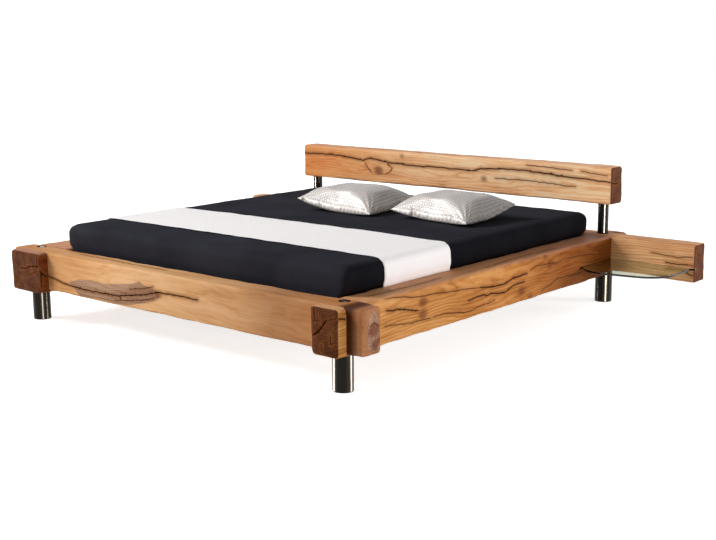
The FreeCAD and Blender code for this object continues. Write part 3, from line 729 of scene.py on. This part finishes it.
finishes = (
    (tube_with_painted_dark_reflection, ["leg_foot_right", "leg_foot_left", "leg_head_right", "leg_head_left", "head_post_right",
                 "head_post_left"]),
    (plate_with_painted_dark_reflection, ["leg_plates", "post_plates"]),
    (zinc, ["crossing_bolts", "crossing_washers", "tie_rods", "tie_rod_nuts", "rest_beam_inserts",
            "ledger_screws", "shoe_screws"]),
    (galvanised, ["beam_shoes", "middle_leg", "middle_leg_plate"]),
    (glide_plastic, ["glide_foot_right", "glide_foot_left", "glide_head_right", "glide_head_left",
                     "middle_leg_glide"]),
    (cap_rubber, ["slat_caps"]),
    (spruce, ["ledger_right", "ledger_left", "middle_beam"]),
    (beech, ["slats_right", "slats_left", "slat_end_rails"]),
    (beech_rails, ["slat_side_rails"]),
    (glass, ["glass_shelf_right", "glass_shelf_left"]),
)
for material, nodes in finishes:
    for node in nodes:
        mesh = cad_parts[node].data
        mesh.materials.clear()
        mesh.materials.append(material)


# Bedding

bed_low, bed_high = (np.array(v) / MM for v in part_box("mattress"))
BED_MIDDLE = (bed_low[0] + bed_high[0]) / 2
PROFILE = np.array([  # rise up the side, and how far in from the widest there: it swells over the beams
    (0.0, 46.0), (0.2, 36.0), (0.3, 29.0), (0.325, 19.0), (0.37, 9.0), (0.45, 2.5), (0.55, 0.0), (1.0, 0.0)])


def bed_skin(grow, step, drop, band=None, hang=False):
    """The mattress's outside grow millimetres out, as a box grid bent to a bulged, crowned form down to drop.

    With a band it has lines along the bed only between the band's two ends.
    """
    low, high = bed_low - (grow, grow, 0), bed_high + (grow, grow, grow)
    low[2] = drop
    corner, top = 84.0 + grow, 46.0
    lines = [grid_lines(low[k], high[k], step, corner if k < 2 else top) for k in range(3)]
    if band:
        lines[1] = np.array([low[1], *np.linspace(*band, round((band[1] - band[0]) / step) + 1), high[1]])
    p, index, faces = box_grid(lines)
    core = np.clip(p[:, :2], low[:2] + corner, high[:2] - corner)
    away = p[:, :2] - core
    reach = np.abs(away).max(1)
    # a tenth power keeps the corners square and soft, as a boxed mattress has them
    way = away / np.maximum((np.abs(away) ** 10).sum(1) ** 0.1, 1e-9)[:, None]
    edge_in = corner - reach
    on_side = edge_in < 1e-6
    down = high[2] - p[:, 2]
    # the top edge's round: half of the turn is on the top face, half on the side
    turn = np.where(on_side, math.pi / 2 - np.arctan(np.clip(1 - down / top, 0, 1)),
                    np.arctan(np.clip(1 - edge_in / top, 0, 1)))
    rounded = (on_side & (down < top)) | (~on_side & (edge_in < top) & (p[:, 2] > high[2] - 1))
    out = np.where(on_side, corner, corner - edge_in)
    out = np.where(rounded, corner - top + top * np.sin(turn), out)
    z = np.where(rounded, high[2] - top + top * np.cos(turn), p[:, 2])
    rise = (z - bed_low[2]) / (high[2] - bed_low[2])
    side_in = np.interp(rise, PROFILE[:, 0], PROFILE[:, 1])
    if hang:
        side_in = np.minimum(side_in, 8.0)
    sideways = np.abs(away[:, 0]) / np.maximum(np.abs(away).max(1), 1e-9)
    pull = side_in * ease(out, corner * 0.5, corner)
    made = np.column_stack([core + way * out[:, None], z])
    made[:, 0] -= np.sign(made[:, 0] - BED_MIDDLE) * pull * np.clip(sideways, 0, 1)
    made[:, 1] -= np.sign(made[:, 1] - (low[1] + high[1]) / 2) * 0.2 * pull * (1 - np.clip(sideways, 0, 1))
    # a slight crown over the top
    u = (made[:, 0] - BED_MIDDLE) / (high[0] - low[0]) * 2
    v = (made[:, 1] - (low[1] + high[1]) / 2) / (high[1] - low[1]) * 2
    crown = 5 * ease(np.maximum(np.abs(u), np.abs(v)), 0.3, 1.0) ** 1.4
    made[:, 2] -= crown * ease(made[:, 2], high[2] - 150, high[2] - 50)
    return made, index, faces, [len(q) for q in lines]


# Black cotton jersey: dull near-black knit with a faint cool bloom where light grazes it
jersey, add, shader = new_material("black_cotton_jersey")
where = add("TexCoord").outputs["Object"]
blot = add("TexNoise", {"Vector": where, "Scale": 3.0, "Detail": 3.0})
tint = add("ValToRGB", {"Fac": blot}, stops=[(0.35, "#2A2A30"), (0.65, "#34343B")])
# knitted loops, about 1.3 mm apart on real jersey, drawn 4 mm wide so that they show up close
loops = add("TexVoronoi", {"Vector": where, "Scale": 260.0})
knit = add("Bump", {"Strength": 0.3, "Distance": 0.0004, "Height": loops})
put(shader, Base_Color=tint, Normal=knit, Roughness=0.75, Specular_IOR_Level=0.0,
    Sheen_Weight=0.06, Sheen_Roughness=0.4, Sheen_Tint=linear("#B9BECB"))

# White woven cotton for the runner: a little pink in the light, plain weave
runner_cloth, add, shader = new_material("white_woven_cotton")
threads = {"Vector": add("TexCoord").outputs["Object"], "Scale": 105.0, "Distortion": 0.3}
warp, weft = (add("TexWave", threads, bands_direction=way).outputs["Fac"] for way in ("Y", "DIAGONAL"))
cloth = add("Math", [warp, weft], operation="MULTIPLY")
tint = add("ValToRGB", {"Fac": cloth}, stops=[(0.0, "#F6F1F0"), (0.8, "#FDFAFA")])
weave = add("Bump", {"Strength": 0.25, "Distance": 0.0005, "Height": cloth})
put(shader, Base_Color=tint, Normal=weave, Roughness=0.8, Sheen_Weight=0.2, Sheen_Roughness=0.5)

# Knitted mattress ticking: soft white with a quilted surface
ticking = patterned(
    "knitted_white_ticking", "TexVoronoi", {"Scale": 28.0}, [(0.1, "#E9E6DF"), (0.7, "#D6D2C9")],
    relief=(0.4, 0.002), inward=True, settings={"feature": "SMOOTH_F1"}, Roughness=0.85,
)


def thicken(piece, thickness):
    """Gives a cloth its thickness inward, closed round its edges."""
    modifier = piece.modifiers.new("thickness", "SOLIDIFY")
    modifier.thickness = thickness * MM
    modifier.offset = -1.0
    modifier.use_even_offset = False
    modifier.use_rim = True


# Heights between which a cloth goes from hanging to lying, for its creases and its hems, in millimetres
TOP_HEIGHTS = (405, 480)
HEM_HEIGHTS = (372, 470)

mattress_points, _, mattress_faces, _ = bed_skin(grow=-4.0, step=18.0, drop=bed_low[2])
mattress = make_object("mattress_core", mattress_points, mattress_faces.tolist(), ticking)
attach(mattress, "bedding")
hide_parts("mattress")

sheet_points, sheet_index, sheet_faces, _ = bed_skin(grow=2.2, step=14.0, drop=bed_low[2] + 4)
creases = 1.2 * wave_field(sheet_points * (1, 1, 0.6), 260, 31) + 0.5 * wave_field(sheet_points, 80, 32)
sheet_points[:, 2] += ease(sheet_points[:, 2], *TOP_HEIGHTS) * creases
keep = ~(sheet_index[sheet_faces][:, :, 2] == 0).all(1)
kept, quads = np.unique(sheet_faces[keep], return_inverse=True)
fitted_sheet = make_object("fitted_sheet_jersey", sheet_points[kept], quads.reshape(-1, 4).tolist(), jersey)
thicken(fitted_sheet, 1.2)
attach(fitted_sheet, "bedding")
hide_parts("fitted_sheet")


def make_runner():
    """The runner across the bed: up one side, over and down the other, its hems just off the side beams."""
    low, high = (np.array(v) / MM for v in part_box("bed_runner"))
    across = (low[1], high[1])
    points, index, faces, counts = bed_skin(grow=7.0, step=12.0, drop=low[2] - 2.5, band=across, hang=True)
    y_rows = index[faces][:, :, 1]
    keep = ~(index[faces][:, :, 2] == 0).all(1) & (y_rows >= 1).all(1) & (y_rows <= counts[1] - 2).all(1)
    kept, quads = np.unique(faces[keep], return_inverse=True)
    points = points[kept]
    # it hangs a little free at its hems, and the two long hems are folded double
    fall = 1 - ease(points[:, 2], *HEM_HEIGHTS)
    sway = 2.6 + 1.8 * wave_field(points, 150, 41)
    points[:, 0] += np.sign(points[:, 0] - BED_MIDDLE) * fall * np.clip(sway, 0.6, None)
    ripple = 0.9 * wave_field(points, 210, 42) + 0.4 * wave_field(points, 60, 43)
    edge = np.minimum(points[:, 1] - low[1], high[1] - points[:, 1])
    hem = 0.9 * (1 - ease(edge, 15, 19))
    on_top = ease(points[:, 2], *TOP_HEIGHTS)
    points[:, 2] += on_top * (ripple + hem)
    points[:, 0] += np.sign(points[:, 0] - BED_MIDDLE) * (1 - on_top) * hem
    runner = make_object("bed_runner_cotton", points, quads.reshape(-1, 4).tolist(), runner_cloth)
    thicken(runner, 2.2)
    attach(runner, "bedding")
    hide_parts("bed_runner")


make_runner()


# Cushions

# Silver-grey jacquard: matt ground with a small raised key pattern of shinier thread
brocade, add, shader = new_material("silver_jacquard_satin")
woven = add("UVMap", uv_map="cloth")
# one repeat is 26 by 20 mm, about twice a real one, so that it shows
repeat = add("VectorMath", [woven, (1 / 0.026, 1 / 0.020, 1.0)], operation="MULTIPLY")
part = add("SeparateXYZ", [repeat])
row = add("Math", [part.outputs["Y"]], operation="FLOOR")
# every second row is set half a repeat along
stagger = add("Math", [row, 0.5, part.outputs["X"]], operation="MULTIPLY_ADD")
from_middle = []
for place in (stagger, part.outputs["Y"]):
    within = add("Math", [place], operation="FRACT")
    off = add("Math", [within, 0.5], operation="SUBTRACT")
    from_middle.append(add("Math", [off], operation="ABSOLUTE"))
square = add("Math", from_middle, operation="MAXIMUM")
key_ring = add("Math", [square, 2.0 * math.pi * 2.4], operation="MULTIPLY")
key_wave = add("Math", [key_ring], operation="SINE")
key = add("MapRange", {"Value": key_wave, "From Min": -0.35, "From Max": 0.35},
          interpolation_type="SMOOTHSTEP")
tint = add("ValToRGB", {"Fac": key}, stops=[(0.0, "#8C827A"), (1.0, "#BFB7B3")])
gloss = add("MapRange", {"Value": key, "To Min": 0.55, "To Max": 0.38})
raised = add("Bump", {"Strength": 0.4, "Distance": 0.0008, "Height": key})
put(shader, Base_Color=tint, Roughness=gloss, Normal=raised, IOR=1.7, Specular_IOR_Level=1.0,
    Sheen_Weight=0.05,
    Sheen_Roughness=0.4)


# A cushion's cover as sewn and how high its filling lifts the crown, in millimetres, and its quads across
CUSHION_WIDE = 490.0
CUSHION_DEEP = 410.0
CROWN_RISE = 68
COVER_CELLS = 80
# How far the simulation may move a point, in millimetres, and how often its moves are smoothed
MOST_MOVE = 24
SMOOTHINGS = 26


def sewn_cover(wide, deep, cells):
    """Two rectangles of cloth sewn round their edge: points in millimetres, quads and flat places."""
    nx, ny = cells, round(cells * deep / wide)
    x, y = np.meshgrid(np.linspace(-wide / 2, wide / 2, nx + 1), np.linspace(-deep / 2, deep / 2, ny + 1),
                       indexing="ij")
    u, v = x / wide * 2, y / deep * 2
    dome = (1 - u**2) * (1 - v**2)
    number = np.arange((nx + 1) * (ny + 1)).reshape(nx + 1, ny + 1)
    under = number.copy()
    under[1:-1, 1:-1] = (nx + 1) * (ny + 1) + np.arange((nx - 1) * (ny - 1)).reshape(nx - 1, ny - 1)
    upper = np.stack([x, y, 9 * dome], -1)
    lower = np.stack([x, y, -9 * dome], -1)
    points = np.concatenate([upper.reshape(-1, 3), lower[1:-1, 1:-1].reshape(-1, 3)])

    def quads(n, flip):
        q = np.stack([n[:-1, :-1], n[1:, :-1], n[1:, 1:], n[:-1, 1:]], -1).reshape(-1, 4)
        return q[:, ::-1] if flip else q

    return points, np.concatenate([quads(number, False), quads(under, True)]), points[:, :2].copy()


def pillow_form(points, wide, deep):
    """A full pillow: a round crown, and sides drawn in between pointed corners."""
    u, v = points[:, 0] / wide * 2, points[:, 1] / deep * 2
    fall = (1 - np.abs(u) ** 2.8) * (1 - np.abs(v) ** 2.8)
    swell = np.clip(fall, 0, 1) ** 0.5
    up = np.where(points[:, 2] >= 0, 1.0, -1.0)
    x = points[:, 0] * (1 - 0.045 * (1 - v**2) ** 1.2)
    y = points[:, 1] * (1 - 0.05 * (1 - u**2) ** 1.2)
    z = up * swell * CROWN_RISE
    return np.column_stack([x, y, z])


def gathers(made, flat, wide, deep, seed):
    """Small puckers drawn in along the seam, by the flat place of each point."""
    u, v = flat[:, 0] / wide * 2, flat[:, 1] / deep * 2
    draw = np.random.default_rng(seed)
    for axis, along, across, run in ((1, u, v, wide), (0, v, u, deep)):
        for side in (-1, 1):
            near = np.clip((across * side - 0.9) / 0.1, 0, 1) ** 1.5
            for place in np.sort(draw.uniform(-0.86, 0.86, 9)):
                narrow = np.exp(-(((along - place) * run / 2 / 8) ** 2)) * near * draw.uniform(0.5, 1.3)
                made[:, axis] -= side * 6.0 * narrow
                made[:, 2] += 3.0 * narrow
    return made


def corner_folds(made, flat, wide, deep, seed):
    """Soft folds that run out from each corner over the full sides."""
    for sign_x, sign_y in ((-1, -1), (1, -1), (1, 1), (-1, 1)):
        off = flat - (sign_x * wide / 2, sign_y * deep / 2)
        far = np.linalg.norm(off, axis=1)
        fan = np.arctan2(np.abs(off[:, 1]), np.abs(off[:, 0]))
        fold = np.sin(fan * 17 + seed + sign_x + 2 * sign_y) * 4.0
        fold = fold * np.exp(-((far / 95) ** 2)) * ease(far, 6, 40)
        made += fold[:, None] * np.array([sign_x, sign_y, 1.0]) * 0.58 * (made[:, 2] > 0)[:, None]
    return made


def blown(points, faces):
    """The cover swollen by its filling in a short cloth simulation, each point held to a small move."""
    piece = make_object("cover", points, faces.tolist(), None)
    cloth = piece.modifiers.new("cloth", "CLOTH")
    stiff = {"tension_stiffness": 25, "compression_stiffness": 25, "bending_stiffness": 1.5}
    filled = {"quality": 8, "mass": 0.3, "use_pressure": True, "uniform_pressure_force": 4.0, **stiff}
    for setting, value in filled.items():
        setattr(cloth.settings, setting, value)
    cloth.settings.effector_weights.gravity = 0.0
    cloth.collision_settings.use_collision = False
    cloth.point_cache.frame_start, cloth.point_cache.frame_end = 1, 30
    for turn in range(1, 21):
        bpy.context.scene.frame_set(turn)
    depsgraph = bpy.context.evaluated_depsgraph_get()
    settled = bpy.data.meshes.new_from_object(piece.evaluated_get(depsgraph))
    move = np.array([v.co for v in settled.vertices]) / MM - points
    bpy.data.objects.remove(piece)
    bpy.data.meshes.remove(settled)
    bpy.context.scene.frame_set(1)
    # the filling shows the broad swelling through, not the cloth's small crumples
    for _ in range(SMOOTHINGS):
        total, count = np.zeros_like(move), np.zeros(len(move))
        for a, b in ((0, 1), (1, 2), (2, 3), (3, 0)):
            for here, there in ((a, b), (b, a)):
                np.add.at(total, faces[:, here], move[faces[:, there]])
                np.add.at(count, faces[:, here], 1)
        move = (move + total / count[:, None]) / 2
    far = np.linalg.norm(move, axis=1)
    return points + move * (np.minimum(far, MOST_MOVE) / np.maximum(far, 1e-6))[:, None]


def make_cushion(node, degrees, seed, tip_rises):
    """A loose scatter cushion lying on the bed, over its CAD node's place; its tips stand up by tip_rises."""
    low, high = (np.array(v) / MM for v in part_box(node))
    middle = (low + high) / 2
    wide, deep = CUSHION_WIDE, CUSHION_DEEP
    points, faces, flat = sewn_cover(wide, deep, COVER_CELLS)
    made = blown(pillow_form(points, wide, deep), faces)
    made -= (made.max(0) + made.min(0)) / 2
    span = made.max(0) - made.min(0)
    made[:, 0] *= wide / span[0]
    made[:, 1] *= deep / span[1]
    made = corner_folds(gathers(made, flat, wide, deep, seed), flat, wide, deep, seed)
    # its seam lies low along the sides and stands up at the four tips, and the underside is flat on the sheet
    tips = np.abs(flat[:, 0] / wide * 2) * np.abs(flat[:, 1] / deep * 2)
    corner = np.select([(flat[:, 0] < 0) & (flat[:, 1] < 0), flat[:, 1] < 0, flat[:, 0] > 0], [0, 1, 2], 3)
    seam = low[2] + 12.0 + np.array(tip_rises)[corner] * tips**1.5
    # the corner nearest the foot and the right is pushed in
    made[:, :2] *= (1 - 0.06 * ease(tips, 0.6, 1.0) * (corner == 1))[:, None]
    crown, belly = high[2] - low[2] - 13.0, 16.0
    made[:, 2] *= np.where(made[:, 2] > 0, crown / (span[2] / 2), belly / (span[2] / 2))
    made[:, 2] += 1.8 * wave_field(made, 110, seed) * np.clip(made[:, 2] / 60, 0, 1)
    made[:, 2] = np.maximum(made[:, 2] + seam, low[2] + 0.6)
    angle = math.radians(degrees)
    x = made[:, 0] * math.cos(angle) - made[:, 1] * math.sin(angle) + middle[0]
    y = made[:, 0] * math.sin(angle) + made[:, 1] * math.cos(angle) + middle[1]
    piece = make_object(node + "_cover", np.column_stack([x, y, made[:, 2]]), faces.tolist(), brocade)
    layer = piece.data.uv_layers.new(name="cloth")
    corners = np.array([loop.vertex_index for loop in piece.data.loops])
    layer.data.foreach_set("uv", (flat[corners] * MM).astype(np.float32).ravel())
    smooth = piece.modifiers.new("smooth", "SUBSURF")
    smooth.levels = smooth.render_levels = 1
    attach(piece, node)
    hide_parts(node)


make_cushion("cushion_right", -2.0, 51, (34.0, 2.0, 62.0, 34.0))
make_cushion("cushion_left", 3.0, 52, (54.0, 2.0, 44.0, 34.0))


# Set: floor, lamps and camera


def open_rays(add, kinds=("Is Camera Ray", "Is Glossy Ray", "Is Transmission Ray")):
    """1 for what the camera sees, straight, mirrored or through glass, and 0 for what lights the pieces."""
    path = add("LightPath")
    first, second, third = (path.outputs[kind] for kind in kinds)
    shiny = add("Math", [first, second], operation="MAXIMUM")
    return add("Math", [shiny, third], operation="MAXIMUM")


# A seamless pale floor: plainly lit it goes white, and it keeps the bed's soft shadow
floor_paper, add, shader = new_material("pale_backdrop_paper")
where = add("TexCoord").outputs["Object"]
paper = add("TexNoise", {"Vector": where, "Scale": 40.0, "Detail": 2.0})
tint = add("ValToRGB", {"Fac": paper}, stops=[(0.3, "#EDEDED"), (0.7, "#F1F1F1")])
reach = add("VectorMath", [where], operation="LENGTH").outputs["Value"]
far_white = add("MapRange", {"Value": reach, "From Min": 2.5, "From Max": 7.0, "To Min": 0.74,
                             "To Max": 1.0})
lift = add("Math", [open_rays(add), far_white], operation="MULTIPLY")
put(shader, Base_Color=tint, Roughness=0.9, Specular_IOR_Level=0.0, Emission_Color=(1, 1, 1, 1),
    Emission_Strength=lift)
FLOOR_HALF = 30000
floor_corners = [(x * FLOOR_HALF, y * FLOOR_HALF, 0) for x, y in ((-1, -1), (1, -1), (1, 1), (-1, 1))]
floor = make_object("floor", floor_corners, [(0, 1, 2, 3)], floor_paper, smooth=False)

world = bpy.data.worlds.new("white_studio")
bpy.context.scene.world = world
world.use_nodes = True
world.node_tree.nodes.clear()
add = partial(add_node, world.node_tree)
strength = add("MapRange", {"Value": open_rays(add), "To Min": 0.26, "To Max": 1.0})
light = add("Background", {"Color": (1, 1, 1, 1), "Strength": strength})
add("OutputWorld", {"Surface": light})


def light_group(name, pieces, state="INCLUDE"):
    """The pieces that a lamp is kept to, or that it leaves out."""
    group = bpy.data.collections.new(name)
    for piece in pieces:
        group.objects.link(piece)
    for entry in group.collection_objects:
        entry.light_linking.link_state = state
    return group


def soft_lamp(name, place, aim, wide, high, watts, receivers=None):
    """A rectangular softbox turned to aim, which lights everything or goes by its group of receivers."""
    lamp = bpy.data.lights.new(name, "AREA")
    lamp.shape = "RECTANGLE"
    lamp.size, lamp.size_y, lamp.energy = wide, high, watts
    holder = bpy.data.objects.new(name, lamp)
    holder.location = place
    if receivers:
        holder.light_linking.receiver_collection = receivers
    holder.rotation_euler = (Vector(aim) - Vector(place)).to_track_quat("-Z", "Y").to_euler()
    bpy.context.scene.collection.objects.link(holder)


cushion_covers = [bpy.data.objects[name] for name in ("cushion_right_cover", "cushion_left_cover")]
cushions = light_group("cushions", cushion_covers)
dark_cloths = light_group("kept_from_the_side_lamps", [*cushion_covers, fitted_sheet], state="EXCLUDE")
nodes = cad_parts
near_leg = light_group("foot_right", [nodes["leg_foot_right"]])
far_leg = light_group("foot_left", [nodes["leg_foot_left"]])
head_names = ("leg_head_right", "leg_head_left", "head_post_right", "head_post_left")
head_tubes = light_group("head_tubes", [nodes[name] for name in head_names])
soft_lamp("key_softbox", (-6.6, -6.0, 6.6), (0.0, -0.2, 0.3), 3.4, 3.4, 1040)
soft_lamp("side_softbox", (9.1, 6.0, 1.9), (0.8, 0.0, 0.3), 2.5, 2.5, 520, dark_cloths)
soft_lamp("low_side_softbox", (8.6, -1.1, 1.2), (1.0, -0.8, 0.3), 1.0, 1.0, 150, dark_cloths)
soft_lamp("cushion_fill", (-1.5, -7.0, 1.3), (0.2, 0.2, 0.5), 2.0, 1.2, 300, cushions)
soft_lamp("near_leg_left_strip", (-3.1, -2.7, 0.45), (0.0, -1.6, 0.1), 0.18, 0.9, 3400, near_leg)
soft_lamp("near_leg_right_strip", (4.2, 2.2, 0.45), (1.0, 0.0, 0.1), 0.15, 0.9, 3600, near_leg)
soft_lamp("far_leg_middle_strip", (3.4, -3.4, 0.5), (-1.0, -1.0, 0.1), 0.10, 0.9, 1500, far_leg)
soft_lamp("far_leg_right_strip", (4.2, 2.2, 0.45), (-1.0, -1.0, 0.1), 0.14, 0.9, 2600, far_leg)
soft_lamp("head_strip", (5.2, -1.4, 0.6), (1.0, 1.0, 0.3), 0.16, 0.9, 3600, head_tubes)
soft_lamp("head_edge_strip", (-2.5, -1.6, 0.6), (0.0, 1.0, 0.3), 0.14, 0.9, 1500, head_tubes)

# The camera that a fit of the photo's beam edges gave
lens = bpy.data.cameras.new("camera")
lens.sensor_fit, lens.sensor_width, lens.lens = "HORIZONTAL", 36.0, 61.273
lens.clip_end = 200.0
camera = bpy.data.objects.new("camera", lens)
camera.location = (4.14088583, -4.64223734, 1.43878586)
camera.rotation_euler = Euler((1.37492, 0.00729, 0.702040), "XYZ")
bpy.context.scene.collection.objects.link(camera)
bpy.context.scene.camera = camera
bpy.context.scene.view_settings.view_transform = "Standard"
